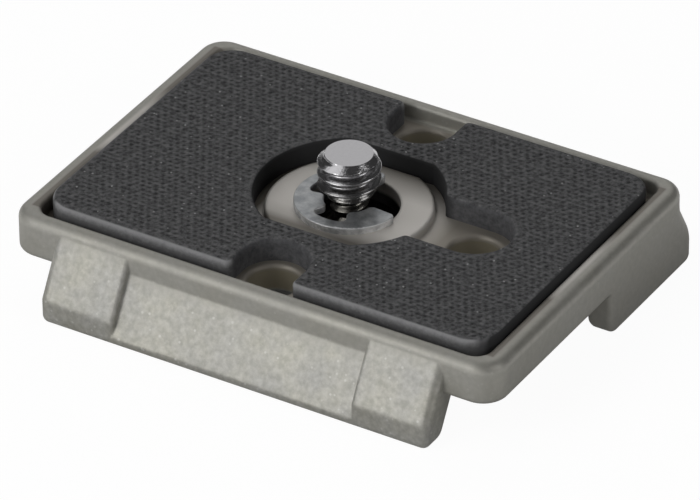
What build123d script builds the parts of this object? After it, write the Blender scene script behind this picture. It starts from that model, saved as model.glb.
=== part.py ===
"""Tripod quick release plate: a die-cast tray on dovetail legs, a rubber pad and a captive camera screw.

Units are millimetres. +X runs along the long front edge, +Y from the front to the rear and +Z up.
The origin is where the camera's base meets the screw: on the screw's axis, level with the pad's top.
Heights named here are measured upwards from the feet that the plate stands on.
"""

import os
from math import cos, radians, sin, tan

from build123d import *

# Casting: tray, rim, boss and holes
plate_length = 52.7
tray_depth = 36.8
tray_corner = 2.6
tray_underside = 4.65
rim_top = 8.95
rim_width_end = 2.05
rim_width_side = 1.5
rim_inner_corner = 1.6
rim_outer_round = 1.0
rim_inner_round = 0.35
rim_least_flat = 0.1
floor_level = 7.35
boss_radius = 8.1
boss_flats = 14.8
boss_height = 0.8
boss_round = 0.35
screw_hole_radius = 4.85
pin_hole_radius = 2.5
pin_hole_distance = 13.6
pin_hole_round = 0.4
head_recess_depth = 1.1

# Casting: dovetail legs
dovetail_angle = 30.0
dovetail_top = 6.45
panel_foot = 1.05
front_wall = 3.1
front_bar_length = 42.1
front_foot_round = 0.85
front_inner_round = 1.4
front_end_round = 0.8
lug_gap = 25.9
lug_height = 0.8
lug_crease_round = 0.85
lug_round = 0.4
rear_foot = 2.9
rear_wall = 4.0
rear_shoulder_round = 4.0
rear_root_round = 2.0
end_wall = 2.8
end_wall_front = 3.4
end_wall_round = 1.3
foot_round = 0.5
pocket_corner = 2.5
pocket_foot_round = 0.9
pocket_root_round = 0.4

# Rubber pad
pad_gap_end = 0.2
pad_gap_side = 0.75
pad_thickness = 2.35
pad_corner = 3.0
pad_round = 0.45
pad_gap_boss = 0.95
pad_gap_flats = 0.4
pad_channel_width = 7.4
pad_notch_width = 6.7
pad_cut_corner = 0.6
pad_cut_round = 0.38

# Camera screw
thread_radius = 3.05
screw_top = 13.85
tip_chamfer = 0.75
neck_radius = 2.4
screw_lift = 0.8
head_radius = 6.6
head_thickness = 3.7
head_round = 0.4
slot_width = 1.6
slot_depth = 1.1

# Retaining clip
clip_thickness = 0.7
clip_radius = 5.3
clip_inner_radius = 4.1
clip_mouth_angle = 82.0
clip_prong_angle = 50.0
clip_lobe_angle = 60.0
clip_turn = 37.0
clip_tip_round = 0.55
clip_edge_round = 0.12

# Folding ring
ring_wire = 1.6
ring_length = 13.4
ring_seat_depth = 3.0
ring_bend = 1.2
ring_pivot_depth = 2.2

# Clearances
running_clearance = 0.05
seat_gap = 0.05
head_recess_gap = 0.6
ring_lead = 0.1
touch = 0.01

# Heights and places that follow
half_length = plate_length / 2
half_depth = tray_depth / 2
plate_height = floor_level + pad_thickness
pad_length = plate_length - 2 * (rim_width_end + pad_gap_end)
pad_depth = tray_depth - 2 * (rim_width_side + pad_gap_side)
pad_opening_radius = boss_radius + pad_gap_boss
pad_opening_flats = boss_flats + 2 * pad_gap_flats
boss_top = floor_level + boss_height
recess_top = tray_underside + head_recess_depth
head_top = recess_top - screw_lift - seat_gap
head_bottom = head_top - head_thickness
pivot_level = head_top - ring_pivot_depth
thread_start = boss_top + clip_thickness + seat_gap
slope = tan(radians(dovetail_angle))
wire_radius = ring_wire / 2

# Planes with heights above the feet: the feet themselves, the section seen from the right end, the front
feet = Plane.XY.offset(-plate_height)
section = Plane(origin=feet.origin, x_dir=(0, 1, 0), z_dir=(1, 0, 0))
front = Plane(origin=feet.origin, x_dir=(1, 0, 0), z_dir=(0, -1, 0))


def flank(start, level):
    """How far a dovetail flank that leaves the tray at height start has run outwards at height level."""
    return (start - level) * slope


def flank_foot(start, reach):
    """The height at which such a flank arrives at reach, measured from the screw's axis."""
    return start - (reach - half_depth) / slope


def height(shape):
    """The height of a shape's centre above the feet."""
    return feet.to_local_coords(shape.center()).Z


def at_height(shapes, level):
    """Those shapes whose centre lies at one height above the feet."""
    return shapes.filter_by(lambda shape: abs(height(shape) - level) < touch)


# Front bar: a sloped wall with a rounded foot, its face cut back to a panel between two proud lugs
bar_inner = -half_depth + front_wall / cos(radians(dovetail_angle))
bar_inner_foot = bar_inner - flank(dovetail_top, 0)
front_reach = half_depth + flank(dovetail_top, panel_foot)
lug_top = dovetail_top + lug_height / sin(radians(dovetail_angle))
lug_foot = flank_foot(lug_top, front_reach)


def is_lug_side(edge):
    """True for an outer edge of a lug's inner side, one that stands out from the panel and the tray."""
    middle = edge.center()
    panel_y = -half_depth - flank(dovetail_top, height(edge))
    return abs(abs(middle.X) - lug_gap / 2) < touch and middle.Y < min(panel_y, -half_depth) - touch


with BuildPart() as front_bar:
    with BuildSketch(section) as bar_profile:
        with BuildLine():
            Polyline(
                (-half_depth, lug_top),
                (-front_reach, lug_foot),
                (-front_reach, 0),
                (bar_inner_foot, 0),
                (bar_inner, dovetail_top),
                close=True,
            )
        make_face()
        for corner, radius in (
            ((-front_reach, lug_foot), lug_crease_round),
            ((bar_inner_foot, 0), front_inner_round),
        ):
            fillet(bar_profile.vertices().sort_by_distance(corner)[0], radius)
    extrude(amount=front_bar_length / 2, both=True)
    with BuildSketch(section.offset(-lug_gap / 2)):
        with BuildLine():
            Polyline(
                (-half_depth, lug_top),
                (-half_depth - flank(lug_top, 0), 0),
                (-half_depth - flank(dovetail_top, 0), 0),
                (-half_depth, dovetail_top),
                close=True,
            )
        make_face()
    extrude(amount=lug_gap, mode=Mode.SUBTRACT)
    fillet(front_bar.edges().filter_by(is_lug_side), lug_round)
    foot_edges = at_height(front_bar.edges().filter_by(Axis.X), 0)
    fillet(foot_edges.sort_by(Axis.Y)[0], front_foot_round)
    end_edges = front_bar.edges().filter_by(lambda edge: abs(edge.center().X) > front_bar_length / 2 - touch)
    fillet(end_edges.filter_by(lambda edge: height(edge) < dovetail_top), front_end_round)


# Screw hole: what is cut through the boss for the screw, and wider under the tray for its head
with BuildPart() as screw_hole:
    with BuildSketch(feet):
        Circle(head_radius + head_recess_gap)
    extrude(amount=recess_top)
    with BuildSketch(feet.offset(recess_top)):
        Circle(screw_hole_radius)
    extrude(amount=boss_top - recess_top)


# Pin hole: what is cut from the tray for a locating pin, with a rounded mouth
pin_mouth = pin_hole_radius + pin_hole_round

with BuildPart() as pin_hole:
    with BuildSketch(front):
        with BuildLine():
            Polyline(
                (pin_hole_radius, floor_level - pin_hole_round),
                (pin_hole_radius, 0),
                (0, 0),
                (0, floor_level),
                (pin_mouth, floor_level),
            )
            CenterArc((pin_mouth, floor_level - pin_hole_round), pin_hole_round, 90, 90)
        make_face()
    revolve(axis=Axis.Z)


# Plate body: the flared rear leg with its end walls, the tray, and the front bar under the tray
rear_reach = half_depth + flank(dovetail_top, rear_foot)
rear_inner = rear_reach - rear_wall

with BuildPart() as plate_body:
    with BuildSketch(section) as rear_profile:
        with BuildLine():
            Polyline(
                (end_wall_front, 0),
                (rear_reach, 0),
                (rear_reach, rear_foot),
                (half_depth, dovetail_top),
                (half_depth, rim_top),
                (end_wall_front, rim_top),
                close=True,
            )
        make_face()
        for corner, radius in (
            ((end_wall_front, 0), end_wall_round),
            ((rear_reach, rear_foot), rear_shoulder_round),
            ((half_depth, dovetail_top), rear_root_round),
        ):
            fillet(rear_profile.vertices().sort_by_distance(corner)[0], radius)
    extrude(amount=half_length, both=True)
    rear_edges = plate_body.edges().filter_by(lambda edge: edge.center().Y > half_depth - touch)
    fillet(rear_edges.filter_by(lambda edge: abs(edge.center().X) > half_length - touch), tray_corner)

    with BuildSketch(feet.offset(tray_underside)):
        RectangleRounded(plate_length, tray_depth, tray_corner)
    extrude(amount=rim_top - tray_underside)
    fillet(plate_body.faces().sort_by(Axis.Z)[-1].edges(), rim_outer_round)

    # The space under the tray that the screw's head and ring turn in, soft at its foot and at its root
    with BuildSketch(feet) as pocket:
        with Locations((0, rear_inner)):
            Rectangle(plate_length - 2 * end_wall, rear_inner, align=(Align.CENTER, Align.MAX))
        fillet(pocket.vertices().group_by(Axis.Y)[-1], pocket_corner)
    extrude(amount=tray_underside, mode=Mode.SUBTRACT)
    pocket_edges = at_height(plate_body.edges().filter_by(Axis.X), 0)
    fillet(pocket_edges.filter_by(lambda edge: abs(edge.center().Y - rear_inner) < touch), pocket_foot_round)
    under_edges = at_height(plate_body.edges().filter_by(Axis.X), tray_underside)
    root_edges = under_edges.filter_by(lambda edge: abs(edge.center().Y - end_wall_front) < touch)
    fillet(root_edges, pocket_root_round)

    # One soft edge runs along the tray's lower outline, down the end walls and round the rear foot
    fillet(under_edges.sort_by(Axis.Y)[0], foot_round)
    add(front_bar.part)

    # Tray floor with its rim, boss and holes
    with BuildSketch(feet.offset(floor_level)):
        RectangleRounded(
            plate_length - 2 * rim_width_end, tray_depth - 2 * rim_width_side, rim_inner_corner
        )
    extrude(amount=rim_top - floor_level, mode=Mode.SUBTRACT)
    rim_flat = min(rim_width_side, rim_width_end) - rim_outer_round
    rim_edges = plate_body.faces().sort_by(Axis.Z)[-1].inner_wires()[0].edges()
    fillet(rim_edges, min(rim_inner_round, rim_flat - rim_least_flat))
    with BuildSketch(feet.offset(floor_level)):
        Circle(boss_radius)
        Rectangle(2 * boss_radius, boss_flats, mode=Mode.INTERSECT)
    extrude(amount=boss_height)
    fillet(at_height(plate_body.faces(), boss_top)[0].edges(), boss_round)
    add(screw_hole.part, mode=Mode.SUBTRACT)
    with Locations((pin_hole_distance, 0), (0, pin_hole_distance), (0, -pin_hole_distance)):
        add(pin_hole.part, mode=Mode.SUBTRACT)


# Rubber pad: a moulded sheet with an opening for the boss, a channel and two notches for the pin holes
with BuildSketch() as pad_openings:
    Circle(pad_opening_radius)
    Rectangle(2 * pad_opening_radius, pad_opening_flats, mode=Mode.INTERSECT)
    Rectangle(pin_hole_distance, pad_channel_width, align=(Align.MIN, Align.CENTER))
    with Locations((pin_hole_distance, 0)):
        Circle(pad_channel_width / 2)
    with Locations((0, pin_hole_distance), (0, -pin_hole_distance)):
        Circle(pad_notch_width / 2)
    with Locations((0, pad_depth / 2), (0, -pad_depth / 2)):
        Rectangle(pad_notch_width, pad_depth - 2 * pin_hole_distance)


def is_cut_corner(vertex):
    """True where a cut-out's edges meet at an angle: at the boss flats, the channel and the notch mouths."""
    across = abs(vertex.Y)
    on_flat = abs(across - pad_opening_flats / 2) < touch
    at_channel = abs(across - pad_channel_width / 2) < touch and vertex.X < pin_hole_distance - touch
    at_mouth = abs(across - pad_depth / 2) < touch and abs(vertex.X) < pad_notch_width / 2 + touch
    return on_flat or at_channel or at_mouth


with BuildPart() as rubber_pad:
    with BuildSketch(feet.offset(floor_level)) as pad_outline:
        RectangleRounded(pad_length, pad_depth, pad_corner)
        add(pad_openings.sketch, mode=Mode.SUBTRACT)
        fillet(pad_outline.vertices().filter_by(is_cut_corner), pad_cut_corner)
    extrude(amount=pad_thickness)
    fillet(rubber_pad.faces().sort_by(Axis.Z)[-1].outer_wire().edges(), pad_round)
    fillet(rubber_pad.faces().sort_by(Axis.Z)[-1].inner_wires()[0].edges(), pad_cut_round)


# Retaining clip: a stamped E-shape whose prongs hold the screw's neck
def ring_sector(inner_radius, outer_radius, start_angle, sector_angle):
    """A flat piece of a ring, open by the given angle."""
    with BuildSketch() as sector:
        with BuildLine():
            outer_arc = CenterArc((0, 0), outer_radius, start_angle, sector_angle)
            inner_arc = CenterArc((0, 0), inner_radius, start_angle, sector_angle)
            Line(outer_arc @ 0, inner_arc @ 0)
            Line(outer_arc @ 1, inner_arc @ 1)
        make_face()
    return sector.sketch


clip_grip = neck_radius + running_clearance
mouth_start = clip_turn - clip_mouth_angle / 2
mouth_end = clip_turn + clip_mouth_angle / 2
clip_pieces = [
    ring_sector(clip_inner_radius, clip_radius, mouth_end, 360 - clip_mouth_angle),
    ring_sector(clip_grip, clip_inner_radius, mouth_end, clip_lobe_angle),
    ring_sector(clip_grip, clip_inner_radius, mouth_start - clip_lobe_angle, clip_lobe_angle),
    ring_sector(clip_grip, clip_inner_radius, clip_turn + 180 - clip_prong_angle / 2, clip_prong_angle),
]

with BuildPart() as retaining_clip:
    with BuildSketch(feet.offset(boss_top)) as clip_outline:
        add(clip_pieces)
        fillet(clip_outline.vertices(), clip_tip_round)
    extrude(amount=clip_thickness)
    fillet(retaining_clip.faces().sort_by(Axis.Z)[-1].edges(), clip_edge_round)


# Camera screw: thread, neck for the clip, and a coin-slotted head that carries the folding ring
with BuildPart() as camera_screw:
    with BuildSketch(front):
        with BuildLine():
            Polyline(
                (0, screw_top),
                (thread_radius - tip_chamfer, screw_top),
                (thread_radius, screw_top - tip_chamfer),
                (thread_radius, thread_start),
                (neck_radius, thread_start),
                (neck_radius, head_top),
                (head_radius, head_top),
                (head_radius, head_bottom),
                (0, head_bottom),
                close=True,
            )
        make_face()
    revolve(axis=Axis.Z)
    head_circles = camera_screw.edges().filter_by(
        lambda edge: edge.geom_type == GeomType.CIRCLE and abs(edge.radius - head_radius) < touch
    )
    fillet(head_circles, head_round)
    with BuildSketch(feet.offset(head_bottom)):
        Rectangle(slot_width, 2 * head_radius)
    extrude(amount=slot_depth, mode=Mode.SUBTRACT)
    for side in (1, -1):
        with BuildSketch(section.offset(side * head_radius)):
            with Locations((0, pivot_level)):
                Circle(wire_radius + running_clearance)
        extrude(amount=-side * (ring_seat_depth + seat_gap), mode=Mode.SUBTRACT)


# Folding ring: bent wire whose two ends turn in the head, folded flat towards the rear
ring_half = head_radius + ring_lead + ring_bend
ring_end = head_radius - ring_seat_depth
ring_arc_start = ring_length - wire_radius - ring_half

with BuildPart() as d_ring:
    with BuildLine(feet.offset(pivot_level)) as ring_path:
        FilletPolyline((-ring_end, 0), (-ring_half, 0), (-ring_half, ring_arc_start), radius=ring_bend)
        ThreePointArc(
            (-ring_half, ring_arc_start), (0, ring_arc_start + ring_half), (ring_half, ring_arc_start)
        )
        FilletPolyline((ring_half, ring_arc_start), (ring_half, 0), (ring_end, 0), radius=ring_bend)
    with BuildSketch(section.offset(-ring_end)):
        with Locations((0, pivot_level)):
            Circle(wire_radius)
    sweep()


os.makedirs("parts", exist_ok=True)
for name, piece in (
    ("plate_body", plate_body),
    ("rubber_pad", rubber_pad),
    ("camera_screw", camera_screw),
    ("retaining_clip", retaining_clip),
    ("d_ring", d_ring),
):
    piece.part.label = name
    export_step(piece.part, f"parts/{name}.step")
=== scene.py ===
"""Tripod quick release plate: its finishes, thread, rolled clip edge, dimpled pad, studio and camera.

Lengths named here are millimetres. Blender and the frame work in metres, so MM turns one into the other.
"""

from math import ceil, cos, floor, hypot, radians, sin, tau
from random import Random

import bmesh
import bpy
from mathutils import Matrix, Vector
from mathutils.bvhtree import BVHTree
from mathutils.kdtree import KDTree


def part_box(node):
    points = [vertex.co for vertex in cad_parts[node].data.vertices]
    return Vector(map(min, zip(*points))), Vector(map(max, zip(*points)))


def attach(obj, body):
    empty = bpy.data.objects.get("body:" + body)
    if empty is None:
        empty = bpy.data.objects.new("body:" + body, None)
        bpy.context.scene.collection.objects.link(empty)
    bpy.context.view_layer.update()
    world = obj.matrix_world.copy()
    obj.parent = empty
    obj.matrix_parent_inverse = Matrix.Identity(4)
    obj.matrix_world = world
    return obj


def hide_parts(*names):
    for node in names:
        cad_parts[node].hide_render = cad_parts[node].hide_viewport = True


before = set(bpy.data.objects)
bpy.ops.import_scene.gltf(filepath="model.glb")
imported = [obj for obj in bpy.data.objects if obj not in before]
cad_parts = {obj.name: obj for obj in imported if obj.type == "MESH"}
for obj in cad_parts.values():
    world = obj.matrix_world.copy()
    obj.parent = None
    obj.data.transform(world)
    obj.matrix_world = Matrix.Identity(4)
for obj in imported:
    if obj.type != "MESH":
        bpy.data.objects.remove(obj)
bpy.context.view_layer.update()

MM = 0.001
weld_distance = 0.001

# Edges that turn by less than this are shaded soft
soft_angle = radians(40)

# Camera, fitted to the photograph's view: millimetres, degrees and the 700 by 500 image
camera_azimuth = 31.354
camera_elevation = 33.603
camera_roll = -0.528
camera_distance = 705.4
camera_target = (1.182, -1.949, -5.25)
camera_lens = 385.68
camera_sensor = 36.0

# Lights: each one's name, degrees to the right of the front, degrees up, size and watts
light_distance = 500
lights = (
    ("low front light", 0, 10, 400, 0.44),
    ("left front light", -25, 20, 220, 0.39),
    ("high left light", -40, 45, 420, 0.55),
    ("right light", 90, 30, 220, 0.35),
    ("rear light", -150, 40, 500, 0.53),
    ("table light", 0, -90, 900, 0.45),
)
world_level = 0.02
mirrored_world_level = 0.05

# Floor: half its side, the dark under the object, the wider shade in reflections, and how white the rest is
floor_half = 3000
under_half_x = 14
under_half_y = 12
under_fade = 3
shade_margin = 4
shade_fade = 16
shade_level = 0.15
white_share = 0.8
white_glow = 1.19

# Camera screw: a quarter inch thread with twenty turns to the inch
thread_radius = 3.05
thread_pitch = 25.4 / 20
thread_depth = 0.72
crest_share = 0.1
root_share = 0.16
thread_turn = 0.45
thread_start = -2.4
run_out_start = -0.7
run_out_end = 0.9
tip_chamfer = 0.75
neck_radius = 1.87
neck_cut = -3.2
neck_join = 0.4
thread_columns = 144
thread_rows = 24

# Retaining clip: the edge that the die rolls over, and how far an edge of its outline turns at least
edge_roll = 0.12
edge_roll_steps = 3
outline_angle = radians(45)

# Rubber pad: oval dimples in staggered rows, shallower near the edge
dimple_spacing = 0.7315
dimple_row = 0.6025
dimple_length = 0.31
dimple_width = 0.25
dimple_depth = 0.1
dimple_depth_spread = 0.65
dimple_wall = 0.7
dimple_steps = (6, 4)
dimple_margin = 0.06
dimple_edge_fade = 0.15
dimple_seed = 4
edge_sample = 0.05
look_down_from = 1


def node_size(node):
    """The lowest and highest corner of a node of the frame, in millimetres."""
    low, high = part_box(node)
    return Vector(low) / MM, Vector(high) / MM


screw_high = node_size("camera_screw")[1]
clip_high = node_size("retaining_clip")[1]
pad_low, pad_high = node_size("rubber_pad")
plate_low, plate_high = node_size("plate_body")


# Shader nodes

def srgb(code):
    """Linear colour, with alpha, from an sRGB hex value such as "a9a8a2"."""
    levels = [int(code[i:i + 2], 16) / 255 for i in (0, 2, 4)]
    return [v / 12.92 if v <= 0.04045 else ((v + 0.055) / 1.055) ** 2.4 for v in levels] + [1.0]


def per_metre(size):
    """Pattern scale at which one feature is this many millimetres across."""
    return 1 / (size * MM)


def add(tree, kind, inputs, **settings):
    """Add a shader node.

    An input is named, or numbered among those in use, and is a value, a node or a socket.
    """
    node = tree.nodes.new("ShaderNode" + kind)
    for name, value in settings.items():
        setattr(node, name, value)
    in_use = [socket for socket in node.inputs if socket.enabled]
    for key, value in inputs.items():
        socket = in_use[key] if isinstance(key, int) else next(s for s in in_use if s.name == key)
        if isinstance(value, bpy.types.Node):
            value = next(s for s in value.outputs if s.enabled)
        if isinstance(value, bpy.types.NodeSocket):
            tree.links.new(value, socket)
        else:
            socket.default_value = value
    return node


def new_material(name):
    """An empty material, with its node tree and the object's own coordinates in metres."""
    material = bpy.data.materials.new(name)
    material.use_nodes = True
    material.node_tree.nodes.clear()
    tree = material.node_tree
    return material, tree, add(tree, "TexCoord", {}).outputs["Object"]


def finish_material(tree, inputs):
    """Close a material with one Principled shader."""
    shader = add(tree, "BsdfPrincipled", inputs)
    add(tree, "OutputMaterial", {"Surface": shader})


def specks(tree, place, size, spacing, share):
    """1 inside scattered round specks and 0 elsewhere, where a share of the places at a spacing has one."""
    cells = add(tree, "TexVoronoi", {"Vector": place, "Scale": per_metre(spacing)})
    chosen = add(tree, "Math", {0: cells.outputs["Color"], 1: share}, operation="LESS_THAN")
    radius = size / spacing / 2
    near = add(
        tree, "MapRange", {"Value": cells, "From Min": radius, "From Max": radius / 2},
        interpolation_type="SMOOTHSTEP",
    )
    return add(tree, "Math", {0: chosen, 1: near}, operation="MULTIPLY")


def fade(tree, place, axis, span, low=0.0, high=1.0):
    """A level that goes from low to high over a span of millimetres along an axis."""
    along = add(tree, "SeparateXYZ", {"Vector": place}).outputs[axis]
    start, end = span
    return add(
        tree, "MapRange",
        {"Value": along, "From Min": start * MM, "From Max": end * MM, "To Min": low, "To Max": high},
    )


def fade_both_ways(tree, place, axis, span):
    """A level that goes from 0 to 1 over a span of millimetres to either side of the middle."""
    along = add(tree, "SeparateXYZ", {"Vector": place}).outputs[axis]
    off_middle = add(tree, "Math", {0: along}, operation="ABSOLUTE")
    start, end = span
    return add(tree, "MapRange", {"Value": off_middle, "From Min": start * MM, "From Max": end * MM})


def fade_outward(tree, place, span):
    """A level that goes from 0 to 1 over a span of millimetres away from the screw's axis."""
    flat_place = add(tree, "VectorMath", {0: place, 1: (1, 1, 0)}, operation="MULTIPLY")
    off_axis = add(tree, "VectorMath", {0: flat_place}, operation="LENGTH").outputs["Value"]
    start, end = span
    return add(tree, "MapRange", {"Value": off_axis, "From Min": start * MM, "From Max": end * MM})


def inside_rectangle(tree, place, half_x, half_y, border):
    """1 within half a length and half a depth of the middle, fading to 0 across a border."""
    within_x = fade_both_ways(tree, place, "X", (half_x + border, half_x))
    within_y = fade_both_ways(tree, place, "Y", (half_y + border, half_y))
    return add(tree, "Math", {0: within_x, 1: within_y}, operation="MULTIPLY")


def inside_box(tree, place, half_x, half_y, lowest, border):
    """1 inside a rectangle and above a lowest height, fading to 0 across a border."""
    within = inside_rectangle(tree, place, half_x, half_y, border)
    above = fade(tree, place, "Z", (lowest - border, lowest))
    return add(tree, "Math", {0: within, 1: above}, operation="MULTIPLY")


def ray_kinds(tree):
    """1 for what the camera sees itself, and 1 for what it sees in a mirror or through glass."""
    seen = add(tree, "LightPath", {})
    mirrored = add(
        tree, "Math", {0: seen.outputs["Is Glossy Ray"], 1: seen.outputs["Is Transmission Ray"]},
        operation="ADD",
    )
    return seen.outputs["Is Camera Ray"], mirrored


# Casting: its pattern, its tray and holes, and the spans in which its finish and its painted shade change
cloud_size = 4.0
grain_size = 0.6
grain_height = 0.03
fleck_size = 0.34
fleck_spacing = 0.8
fleck_share = 0.4
fleck_strength = 0.7
edge_wear = 0.4
tray_rim = 1.4
tray_floor = -2.35
underside = -5.05
hole_inset = 6
finish_border = 0.3
front_bar = (-18.3, -19.0)
# Share of the bar's flecked skin that reaches behind the bar; the rest there is a darker colour, painted
# shade
bar_share_behind = 0.3
# Spans of painted shade: on the boss beside and before the screw, in the tray's low corners, and in the
# holes
shade_beside_boss = (3.0, 7.5)
shade_before_boss = (-4.0, -5.6)
notch_corner = (9.4, 10.4)
left_corner = (-7.0, -8.0)
right_corner = (7.0, 10.0)
corner_height = (tray_floor + 0.6, tray_floor + 0.2)
hole_lip = (tray_floor - 0.2, tray_floor - 0.6)
bore_reach = (7.0, 9.0)


def tumbled_skin(tree, place, clouds, grain):
    """The casting's outside: clouded, mottled and flecked on the front bar; plainer behind, darker as
    painted shade.
    """
    cloud_level = add(tree, "MapRange", {"Value": clouds, "From Min": 0.35, "From Max": 0.65})
    grain_level = add(tree, "MapRange", {"Value": grain, "From Min": 0.32, "From Max": 0.68})
    clouded = add(
        tree, "Mix", {"Factor": cloud_level, "A": srgb("c2c0b6"), "B": srgb("cccbc6")}, data_type="RGBA"
    )
    mottle = add(
        tree, "Mix", {"Factor": grain_level, "A": srgb("dededc"), "B": srgb("ffffff")}, data_type="RGBA"
    )
    mottled = add(
        tree, "Mix", {"Factor": 1.0, "A": clouded, "B": mottle}, data_type="RGBA", blend_type="MULTIPLY"
    )
    fleck = specks(tree, place, fleck_size, fleck_spacing, fleck_share)
    fleck_level = add(tree, "Math", {0: fleck, 1: fleck_strength}, operation="MULTIPLY")
    flecked = add(tree, "Mix", {"Factor": fleck_level, "A": mottled, "B": srgb("d6d5d0")}, data_type="RGBA")
    # Behind the front bar the colour is plainer and darker: painted shade, from the strip under the rim lip
    # back
    tumbled = fade(tree, place, "Y", front_bar, low=bar_share_behind)
    return add(tree, "Mix", {"Factor": tumbled, "A": srgb("b0aea6"), "B": flecked}, data_type="RGBA")


def tray_finish_and_shade(tree, place, outside):
    """The casting with its tray: plain and pale on the boss, with painted shade beside it and in the low
    corners.
    """
    in_tray = inside_box(
        tree, place, plate_high.x - tray_rim, pad_high.y, tray_floor - finish_border, finish_border
    )
    trayed = add(tree, "Mix", {"Factor": in_tray, "A": outside, "B": srgb("dad6d0")}, data_type="RGBA")
    # Painted shade on the boss towards the pad's walls, and in front of the screw and clip
    beside_boss = fade_both_ways(tree, place, "Y", shade_beside_boss)
    before_boss = fade(tree, place, "Y", shade_before_boss)
    off_boss = add(tree, "Math", {0: beside_boss, 1: before_boss}, operation="MAXIMUM")
    boss_shade = add(tree, "Math", {0: off_boss, 1: in_tray}, operation="MULTIPLY")
    boss_shaded = add(tree, "Mix", {"Factor": boss_shade, "A": trayed, "B": srgb("8a857d")}, data_type="RGBA")
    # Painted shade on the tray's floor in the notches and at the ends, under the pad's walls, darkest at
    # the left
    in_notch = fade_both_ways(tree, place, "Y", notch_corner)
    at_left = fade(tree, place, "X", left_corner)
    at_right = fade(tree, place, "X", right_corner)
    at_end = add(tree, "Math", {0: at_left, 1: at_right}, operation="MAXIMUM")
    in_corner = add(tree, "Math", {0: in_notch, 1: at_end}, operation="MAXIMUM")
    low_down = fade(tree, place, "Z", corner_height)
    low_corner = add(tree, "Math", {0: in_corner, 1: low_down}, operation="MULTIPLY")
    corner_shade = add(tree, "Math", {0: low_corner, 1: in_tray}, operation="MULTIPLY")
    corner_shade_colour = add(
        tree, "Mix", {"Factor": at_left, "A": srgb("a09a90"), "B": srgb("807a70")}, data_type="RGBA"
    )
    return add(tree, "Mix", {"Factor": corner_shade, "A": boss_shaded, "B": corner_shade_colour}, data_type="RGBA")


def hole_shading(tree, place, skin):
    """The casting with its holes, in painted shade: near black in the screw's bore and a darker warm grey
    in the pin holes.
    """
    in_plate = inside_box(
        tree, place, plate_high.x - hole_inset, pad_high.y, underside + finish_border, finish_border
    )
    below_floor = fade(tree, place, "Z", hole_lip)
    in_hole = add(tree, "Math", {0: in_plate, 1: below_floor}, operation="MULTIPLY")
    off_bore = fade_outward(tree, place, bore_reach)
    # Painted shade: the bore's walls near black, the pin holes' walls a darker warm grey
    hole_shade = add(
        tree, "Mix", {"Factor": off_bore, "A": srgb("161514"), "B": srgb("a69e8a")}, data_type="RGBA"
    )
    return add(tree, "Mix", {"Factor": in_hole, "A": skin, "B": hole_shade}, data_type="RGBA")


def cast_aluminium():
    """Tumbled die-cast aluminium: a pale satin grey with a warm cast, clouded and flecked by the tumbling.

    The stones wear every edge round. Behind the front bar the skin is plainer and painted darker, as
    painted shade. In the tray it is as cast, with painted shade beside the boss and in the low corners, and
    the holes are painted dark as painted shade. The flecks are drawn coarser than they are, so that they
    show.
    """
    material, tree, place = new_material("tumbled die-cast aluminium")
    clouds = add(
        tree, "TexNoise", {"Vector": place, "Scale": per_metre(cloud_size), "Detail": 3.0, "Roughness": 0.6}
    )
    grain = add(
        tree, "TexNoise", {"Vector": place, "Scale": per_metre(grain_size), "Detail": 3.0, "Roughness": 0.6}
    )
    outside = tumbled_skin(tree, place, clouds, grain)
    skin = hole_shading(tree, place, tray_finish_and_shade(tree, place, outside))
    worn_edge = add(tree, "Bevel", {"Radius": edge_wear * MM}, samples=4)
    bump = add(
        tree, "Bump",
        {"Strength": 0.3, "Distance": grain_height * MM, "Height": grain, "Normal": worn_edge},
    )
    rough = add(
        tree, "MapRange",
        {"Value": clouds, "From Min": 0.3, "From Max": 0.7, "To Min": 0.42, "To Max": 0.54},
    )
    finish_material(tree, {"Base Color": skin, "Metallic": 0.45, "Roughness": rough, "Normal": bump})
    return material


# Rubber pad: its streaks and dust, and the spans in which its finish and its painted light and shade change
# from the top to the walls
streak_size = 0.6
streak_reach = 0.5
dust_size = 0.25
dust_spacing = 0.9
dust_share = 0.45
wall_top = (pad_high.z - 0.04, pad_high.z - 0.12)
wall_shade_span = (pad_high.z - 0.15, pad_high.z - 0.9)
boss_opening = (9.2, 10.0)
right_wall = (pad_high.x - 1.0, pad_high.x - 0.4)
outer_wall = 1.0
outer_wall_border = 0.5


def pad_walls(tree, place, streak_level):
    """The pad's cut and moulded sides.

    The outer walls are pale along the top and darker lower down, in ragged streaks: a painted highlight at
    the top edge and painted shade below it. The right one is dark, painted shade. The notches' walls are a
    streaked dark grey, and the opening round the boss is cut clean and painted darkest, as painted shade.
    """
    # Painted highlight along the top of the outer walls, fading down into painted shade
    depth = fade(tree, place, "Z", wall_shade_span)
    ragged = add(tree, "Math", {0: streak_level, 1: streak_reach, 2: depth}, operation="MULTIPLY_ADD")
    faded = add(tree, "Math", {0: ragged, 1: streak_reach / 2}, operation="SUBTRACT", use_clamp=True)
    pale = add(tree, "Mix", {"Factor": faded, "A": srgb("a4a4a5"), "B": srgb("6a6a6b")}, data_type="RGBA")
    # Painted shade on the right wall
    at_right = fade(tree, place, "X", right_wall)
    outer = add(tree, "Mix", {"Factor": at_right, "A": pale, "B": srgb("464647")}, data_type="RGBA")
    notch = add(tree, "Mix", {"Factor": streak_level, "A": srgb("4c4c4e"), "B": srgb("6c6c6e")}, data_type="RGBA")
    inner = inside_rectangle(
        tree, place, pad_high.x - outer_wall, pad_high.y - outer_wall, outer_wall_border
    )
    moulded = add(tree, "Mix", {"Factor": inner, "A": outer, "B": notch}, data_type="RGBA")
    # Painted shade: the walls of the opening round the boss are darkest
    off_opening = fade_outward(tree, place, boss_opening)
    return add(tree, "Mix", {"Factor": off_opening, "A": srgb("383839"), "B": moulded}, data_type="RGBA")


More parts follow.
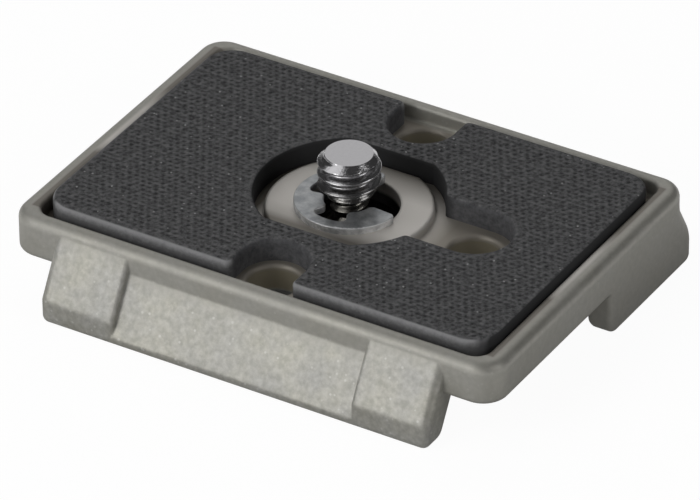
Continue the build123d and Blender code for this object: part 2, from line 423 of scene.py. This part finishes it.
def pad_rubber():
    """Moulded rubber: matt charcoal, painted dark in the dimples as painted shade, paler on the web
    between, with pale dust.

    The dust is drawn coarser than it is, so that it shows.
    """
    material, tree, place = new_material("moulded rubber")
    streaks = add(
        tree, "TexNoise",
        {"Vector": place, "Scale": per_metre(streak_size), "Detail": 5.0, "Roughness": 0.75},
    )
    streak_level = add(tree, "MapRange", {"Value": streaks, "From Min": 0.3, "From Max": 0.7})
    web = add(tree, "Mix", {"Factor": streak_level, "A": srgb("383839"), "B": srgb("858586")}, data_type="RGBA")
    sunk = add(tree, "Attribute", {}, attribute_name="dimple").outputs["Fac"]
    # Painted shade: the dimples are darker the deeper they are
    dimpled = add(tree, "Mix", {"Factor": sunk, "A": web, "B": srgb("060606")}, data_type="RGBA")
    dust = specks(tree, place, dust_size, dust_spacing, dust_share)
    top = add(tree, "Mix", {"Factor": dust, "A": dimpled, "B": srgb("b4b4b4")}, data_type="RGBA")
    on_wall = fade(tree, place, "Z", wall_top)
    walls = pad_walls(tree, place, streak_level)
    rubber = add(tree, "Mix", {"Factor": on_wall, "A": top, "B": walls}, data_type="RGBA")
    finish_material(tree, {"Base Color": rubber, "Roughness": 0.8, "Specular IOR Level": 0.12})
    return material


# Camera screw: its turning marks, and the spans in which its finish and its painted shade change from the
# tip down
mark_size = 0.35
mark_height = 0.03
mark_strength = 0.9
flat_tip = (screw_high.z - 0.01, screw_high.z - 0.06)
thread_shade_start = (2.4, -0.6)
thread_shade_end = (neck_cut, neck_cut - 1.2)


def plated_steel():
    """Bright nickel plate on turned steel: clear on the flat tip, broken up by turning marks below it.

    The lower thread and the neck are painted darker, a painted shade, down to the head. The turning marks
    are drawn coarser than they are, so that they show.
    """
    material, tree, place = new_material("nickel plated steel")
    marks = add(
        tree, "TexNoise", {"Vector": place, "Scale": per_metre(mark_size), "Detail": 3.0, "Roughness": 0.7}
    )
    rough = add(
        tree, "MapRange", {"Value": marks, "From Min": 0.3, "From Max": 0.7, "To Min": 0.12, "To Max": 0.26}
    )
    marked = fade(tree, place, "Z", flat_tip, high=mark_strength)
    bump = add(tree, "Bump", {"Strength": marked, "Distance": mark_height * MM, "Height": marks})
    # Painted shade: the lower thread and the neck are darker, and the head below is bright plate again
    shaded_below = fade(tree, place, "Z", thread_shade_start)
    bright_below = fade(tree, place, "Z", thread_shade_end)
    thread_shade = add(tree, "Math", {0: shaded_below, 1: bright_below}, operation="SUBTRACT")
    plate = add(tree, "Mix", {"Factor": thread_shade, "A": srgb("bdbcbe"), "B": srgb("6c6a65")}, data_type="RGBA")
    finish_material(tree, {"Base Color": plate, "Metallic": 1.0, "Roughness": rough, "Normal": bump})
    return material


# Retaining clip: its scuffs, and how level its surface still is at the painted highlights of the rolled
# edge and the sheared side
scuff_size = 1.1
rolled_from = 0.9
rolled_to = 0.5
sheared_from = 0.3
sheared_to = 0.1


def spring_steel():
    """Zinc plated spring steel, stamped: a dull blue grey face, scuffed and clouded.

    Its rolled edge is painted bright and its sheared sides pale, as painted highlights, and the sides are
    mottled.
    """
    material, tree, place = new_material("zinc plated spring steel")
    clouds = add(
        tree, "TexNoise", {"Vector": place, "Scale": per_metre(scuff_size), "Detail": 4.0, "Roughness": 0.6}
    )
    scuffed = add(tree, "MapRange", {"Value": clouds, "From Min": 0.35, "From Max": 0.65})
    face = add(tree, "Mix", {"Factor": scuffed, "A": srgb("9a9da0"), "B": srgb("cccecf")}, data_type="RGBA")
    normal = add(tree, "NewGeometry", {}).outputs["Normal"]
    rise = add(tree, "SeparateXYZ", {"Vector": normal}).outputs["Z"]
    upright = add(tree, "Math", {0: rise}, operation="ABSOLUTE")
    # Painted highlights: lighter on the rolled edge and the sheared sides, by how upright their surface is
    on_edge = add(tree, "MapRange", {"Value": upright, "From Min": rolled_from, "From Max": rolled_to})
    rolled = add(tree, "Mix", {"Factor": on_edge, "A": face, "B": srgb("f8f8f8")}, data_type="RGBA")
    on_side = add(tree, "MapRange", {"Value": upright, "From Min": sheared_from, "From Max": sheared_to})
    side = add(tree, "Mix", {"Factor": scuffed, "A": srgb("b4b6b8"), "B": srgb("ffffff")}, data_type="RGBA")
    zinc = add(tree, "Mix", {"Factor": on_side, "A": rolled, "B": side}, data_type="RGBA")
    rough = add(
        tree, "MapRange",
        {"Value": clouds, "From Min": 0.3, "From Max": 0.7, "To Min": 0.38, "To Max": 0.55},
    )
    finish_material(tree, {"Base Color": zinc, "Metallic": 0.7, "Roughness": rough})
    return material


# Ring: the marks of drawing
drawing_mark_size = 0.6


def steel_wire():
    """Drawn and plated steel wire: bright, with marks from the die that cloud its shine.

    The marks are drawn coarser than they are, so that they show.
    """
    material, tree, place = new_material("plated steel wire")
    marks = add(tree, "TexNoise", {"Vector": place, "Scale": per_metre(drawing_mark_size), "Detail": 3.0})
    rough = add(
        tree, "MapRange", {"Value": marks, "From Min": 0.3, "From Max": 0.7, "To Min": 0.22, "To Max": 0.36}
    )
    finish_material(tree, {"Base Color": srgb("b4b4b6"), "Metallic": 1.0, "Roughness": rough})
    return material


# Pieces

def dress(piece, material):
    """Give a piece, or a node of the frame, one material all over."""
    if not piece.data.materials:
        piece.data.materials.append(material)
    for slot in piece.material_slots:
        slot.material = material


def node_shape(node):
    """A bmesh in millimetres with a copy of a node's mesh, its doubled points joined."""
    shape = bmesh.new()
    shape.from_mesh(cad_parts[node].data)
    bmesh.ops.scale(shape, verts=shape.verts, vec=(1 / MM, 1 / MM, 1 / MM))
    bmesh.ops.remove_doubles(shape, verts=shape.verts, dist=weld_distance)
    return shape


def new_piece(name, shape):
    """A piece from a bmesh in millimetres, shaded soft but for its sharp edges."""
    bmesh.ops.scale(shape, verts=shape.verts, vec=(MM, MM, MM))
    bmesh.ops.recalc_face_normals(shape, faces=shape.faces)
    for face in shape.faces:
        face.smooth = True
    for edge in shape.edges:
        edge.smooth = edge.calc_face_angle(0.0) < soft_angle
    mesh = bpy.data.meshes.new(name)
    shape.to_mesh(mesh)
    shape.free()
    piece = bpy.data.objects.new(name, mesh)
    bpy.context.collection.objects.link(piece)
    return piece


def stand_in(piece, node, body, material):
    """Show a piece in place of a node, on the node's body and in its material slot."""
    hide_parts(node)
    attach(piece, body)
    dress(piece, material)


def smooth_step(share):
    """0 to 1 with soft ends, for a share of the way."""
    share = min(max(share, 0.0), 1.0)
    return share * share * (3 - 2 * share)


# Camera screw

def thread_radius_at(angle, level):
    """Radius of the screw at an angle and a height: its thread, chamfered tip and run-out at the neck."""
    turns = level / thread_pitch - angle / tau + thread_turn
    off_crest = abs(turns % 1.0 - 0.5) * 2
    flank = min(max((off_crest - crest_share) / (1 - crest_share - root_share), 0.0), 1.0)
    flank = (flank + smooth_step(flank)) / 2
    grown = min(max((level - run_out_start) / (run_out_end - run_out_start), 0.0), 1.0)
    crest = neck_radius + (thread_radius - neck_radius) * grown
    tip = thread_radius - tip_chamfer + screw_high.z - level
    return min(crest - thread_depth * flank * crest / thread_radius, tip)


def threaded_rod(shape):
    """Add the rod to a bmesh, in rows along the helix, up to the flat tip. Returns its lowest edges."""
    turns = ceil((screw_high.z - thread_start) / thread_pitch) + 1
    foot = neck_cut + neck_join
    columns = []
    for j in range(thread_columns):
        angle = tau * j / thread_columns
        column = [shape.verts.new((neck_radius * cos(angle), neck_radius * sin(angle), foot))]
        for i in range(turns * thread_rows + 1):
            level = thread_start + thread_pitch * (i / thread_rows + j / thread_columns - 1)
            level = min(max(level, thread_start), screw_high.z)
            radius = thread_radius_at(angle, level)
            column.append(shape.verts.new((radius * cos(angle), radius * sin(angle), level)))
        columns.append(column)
    top = len(columns[0]) - 1
    for j, column in enumerate(columns):
        beside = columns[(j + 1) % thread_columns]
        seam = thread_rows if j == thread_columns - 1 else 0
        shape.faces.new((column[0], beside[0], beside[1], column[1]))
        for i in range(1, top):
            low = beside[min(i + seam, top)]
            high = beside[min(i + seam + 1, top)]
            shape.faces.new(dict.fromkeys((column[i], low, high, column[i + 1])))
    shape.faces.new([column[top] for column in columns])
    return [shape.edges.get((columns[j - 1][0], columns[j][0])) for j in range(thread_columns)]


def camera_screw():
    """The turned screw with its cut thread. Its head, slot and ring seats keep the frame's mesh."""
    shape = node_shape("camera_screw")
    cut = bmesh.ops.bisect_plane(
        shape, geom=shape.verts[:] + shape.edges[:] + shape.faces[:], dist=weld_distance,
        plane_co=(0, 0, neck_cut), plane_no=(0, 0, 1), clear_outer=True,
    )
    neck_edges = [part for part in cut["geom_cut"] if isinstance(part, bmesh.types.BMEdge)]
    bmesh.ops.bridge_loops(shape, edges=neck_edges + threaded_rod(shape))
    bmesh.ops.remove_doubles(shape, verts=shape.verts, dist=weld_distance)
    bmesh.ops.dissolve_degenerate(shape, edges=shape.edges, dist=weld_distance)
    return new_piece("threaded_screw", shape)


# Retaining clip

def stamped_clip():
    """The stamped clip, with its upper edges rolled over by the die."""
    shape = node_shape("retaining_clip")
    rolled = [
        edge for edge in shape.edges
        if all(vert.co.z > clip_high.z - weld_distance for vert in edge.verts)
        and edge.calc_face_angle(0.0) > outline_angle
    ]
    bmesh.ops.bevel(
        shape, geom=rolled, offset=edge_roll, segments=edge_roll_steps, profile=0.5, affect="EDGES"
    )
    return new_piece("stamped_clip", shape)


# Rubber pad

def dimple_depths(step_x, step_y):
    """Depth by grid place for a staggered lattice of slanted oval dimples, some shallower than others."""
    across, along = dimple_steps
    reach_x = ceil(dimple_length / step_x)
    reach_y = ceil(dimple_length / step_y)
    slant = Vector((-dimple_spacing / 2, dimple_row)).normalized()
    chance = Random(dimple_seed)
    depths = {}
    for row in range(floor(pad_low.y / dimple_row), ceil(pad_high.y / dimple_row)):
        for count in range(floor(pad_low.x / dimple_spacing), ceil(pad_high.x / dimple_spacing)):
            i = count * across + (row % 2) * (across // 2)
            j = row * along
            depth = dimple_depth * (1 - dimple_depth_spread * chance.random())
            for di in range(-reach_x, reach_x + 1):
                for dj in range(-reach_y, reach_y + 1):
                    off = Vector((di * step_x, dj * step_y))
                    off = hypot(off.dot(slant) / dimple_length, off.cross(slant) / dimple_width)
                    depths[i + di, j + dj] = depth * smooth_step((1 - off) / dimple_wall)
    return depths


def open_outline(shape):
    """Points along a bmesh's open edges, in a tree that finds the nearest one."""
    samples = []
    for edge in shape.edges:
        if edge.is_boundary:
            start, end = (vert.co for vert in edge.verts)
            count = ceil((end - start).length / edge_sample)
            samples.extend(start.lerp(end, i / count) for i in range(count))
    outline = KDTree(len(samples))
    for i, sample in enumerate(samples):
        outline.insert(sample, i)
    outline.balance()
    return outline


def dimpled_pad():
    """The moulded pad, its flat top remade as a fine grid that dips into each dimple."""
    shape = node_shape("rubber_pad")
    surface = BVHTree.FromBMesh(shape)
    flat = [face for face in shape.faces if face.calc_center_median().z > pad_high.z - weld_distance]
    bmesh.ops.delete(shape, geom=flat, context="FACES")
    outline = open_outline(shape)

    def room(x, y):
        """How far a place on the flat top is from its outline, 0 where the top isn't flat."""
        hit = surface.ray_cast(Vector((x, y, pad_high.z + look_down_from)), Vector((0, 0, -1)))[0]
        if hit is None or hit.z < pad_high.z - weld_distance:
            return 0.0
        return outline.find((x, y, pad_high.z))[2]

    step_x = dimple_spacing / dimple_steps[0]
    step_y = dimple_row / dimple_steps[1]
    columns = range(floor(pad_low.x / step_x), ceil(pad_high.x / step_x))
    rows = range(floor(pad_low.y / step_y), ceil(pad_high.y / step_y))
    rooms = {(i, j): room(i * step_x, j * step_y) for i in columns for j in rows}
    free = {place for place, size in rooms.items() if size > dimple_margin}
    cells = {(i, j) for i, j in free if {(i + 1, j), (i, j + 1), (i + 1, j + 1)} <= free}
    depths = dimple_depths(step_x, step_y)
    sunk = shape.verts.layers.float.new("dimple")
    verts = {}
    for i, j in sorted(cells):
        corners = ((i, j), (i + 1, j), (i + 1, j + 1), (i, j + 1))
        for place in corners:
            if place not in verts:
                full_share = smooth_step((rooms[place] - dimple_margin) / dimple_edge_fade)
                depth = depths.get(place, 0.0) * full_share
                verts[place] = shape.verts.new((place[0] * step_x, place[1] * step_y, pad_high.z - depth))
                verts[place][sunk] = depth / dimple_depth
        shape.faces.new([verts[place] for place in corners])
    border = [edge for edge in shape.edges if edge.is_boundary]
    bmesh.ops.triangle_fill(shape, edges=border, use_beauty=True, normal=(0, 0, 1))
    return new_piece("dimpled_pad", shape)


dress(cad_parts["plate_body"], cast_aluminium())
dress(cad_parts["d_ring"], steel_wire())
stand_in(stamped_clip(), "retaining_clip", "clip", spring_steel())
stand_in(camera_screw(), "camera_screw", "screw", plated_steel())
stand_in(dimpled_pad(), "rubber_pad", "plate", pad_rubber())


# Floor, light and camera

def pale_floor():
    """A plain pale floor under the feet, white to the eye and in reflections, and clear from below.

    Only the shade under the object stays dark, and near the object reflections see the floor dimmer. It
    casts no shadow itself, so that the table light reaches the underside.
    """
    shape = bmesh.new()
    bmesh.ops.create_grid(shape, x_segments=1, y_segments=1, size=floor_half)
    stage_floor = new_piece("floor", shape)
    stage_floor.location.z = plate_low.z * MM
    material, tree, place = new_material("pale floor")
    direct_ray, mirrored_ray = ray_kinds(tree)
    under = inside_rectangle(tree, place, under_half_x, under_half_y, under_fade)
    open_floor = add(tree, "Math", {0: 1.0, 1: under}, operation="SUBTRACT")
    direct = add(tree, "Math", {0: direct_ray, 1: open_floor}, operation="MULTIPLY")
    shade = inside_rectangle(
        tree, place, plate_high.x + shade_margin, plate_high.y + shade_margin, shade_fade
    )
    lit_floor = add(tree, "MapRange", {"Value": shade, "To Min": 1.0, "To Max": shade_level})
    mirrored = add(tree, "Math", {0: mirrored_ray, 1: lit_floor}, operation="MULTIPLY")
    shown = add(tree, "Math", {0: direct, 1: mirrored}, operation="ADD", use_clamp=True)
    share = add(tree, "Math", {0: shown, 1: white_share}, operation="MULTIPLY")
    matt = add(tree, "BsdfDiffuse", {"Color": srgb("b4b4b4")})
    white = add(tree, "Emission", {"Color": srgb("ffffff"), "Strength": white_glow})
    upper_side = add(tree, "MixShader", {0: share, 1: matt, 2: white})
    from_below = add(tree, "NewGeometry", {}).outputs["Backfacing"]
    clear = add(tree, "BsdfTransparent", {})
    one_sided = add(tree, "MixShader", {0: from_below, 1: upper_side, 2: clear})
    add(tree, "OutputMaterial", {"Surface": one_sided})
    dress(stage_floor, material)
    stage_floor.visible_shadow = False


def way_to(azimuth, elevation):
    """Unit vector from the object to a place, by degrees to the right of its front and above the floor."""
    azimuth = radians(azimuth)
    elevation = radians(elevation)
    return Vector((sin(azimuth) * cos(elevation), -cos(azimuth) * cos(elevation), sin(elevation)))


def soft_light(name, azimuth, elevation, size, power):
    """A square studio light that faces the object from a direction."""
    lamp = bpy.data.lights.new(name, "AREA")
    lamp.shape = "SQUARE"
    lamp.size = size * MM
    lamp.energy = power
    light = bpy.data.objects.new(name, lamp)
    way = way_to(azimuth, elevation)
    light.location = way * light_distance * MM
    light.rotation_euler = way.to_track_quat("Z", "Y").to_euler()
    light.visible_camera = False
    bpy.context.collection.objects.link(light)


def studio():
    """Dim surroundings, white behind the object and a little brighter in reflections, and the lights."""
    world = bpy.data.worlds.new("studio")
    world.use_nodes = True
    world.node_tree.nodes.clear()
    tree = world.node_tree
    direct_ray, mirrored_ray = ray_kinds(tree)
    dim = add(
        tree, "MapRange", {"Value": mirrored_ray, "To Min": world_level, "To Max": mirrored_world_level}
    )
    level = add(tree, "Math", {0: dim, 1: direct_ray}, operation="MAXIMUM")
    around = add(tree, "Background", {"Color": srgb("ffffff"), "Strength": level})
    add(tree, "OutputWorld", {"Surface": around})
    bpy.context.scene.world = world
    for light in lights:
        soft_light(*light)


def place_camera():
    """The photograph's view, as a camera with a long lens."""
    roll = radians(camera_roll)
    back = way_to(camera_azimuth, camera_elevation)
    level = way_to(camera_azimuth + 90, 0)
    upright = back.cross(level)
    right = level * cos(roll) + upright * sin(roll)
    up = upright * cos(roll) - level * sin(roll)
    lens = bpy.data.cameras.new("camera")
    lens.lens = camera_lens
    lens.sensor_width = camera_sensor
    camera = bpy.data.objects.new("camera", lens)
    turn = Matrix((right, up, back)).transposed().to_4x4()
    stand = (Vector(camera_target) + back * camera_distance) * MM
    camera.matrix_world = Matrix.Translation(stand) @ turn
    bpy.context.collection.objects.link(camera)
    bpy.context.scene.camera = camera


pale_floor()
studio()
place_camera()
bpy.context.scene.view_settings.view_transform = "Standard"
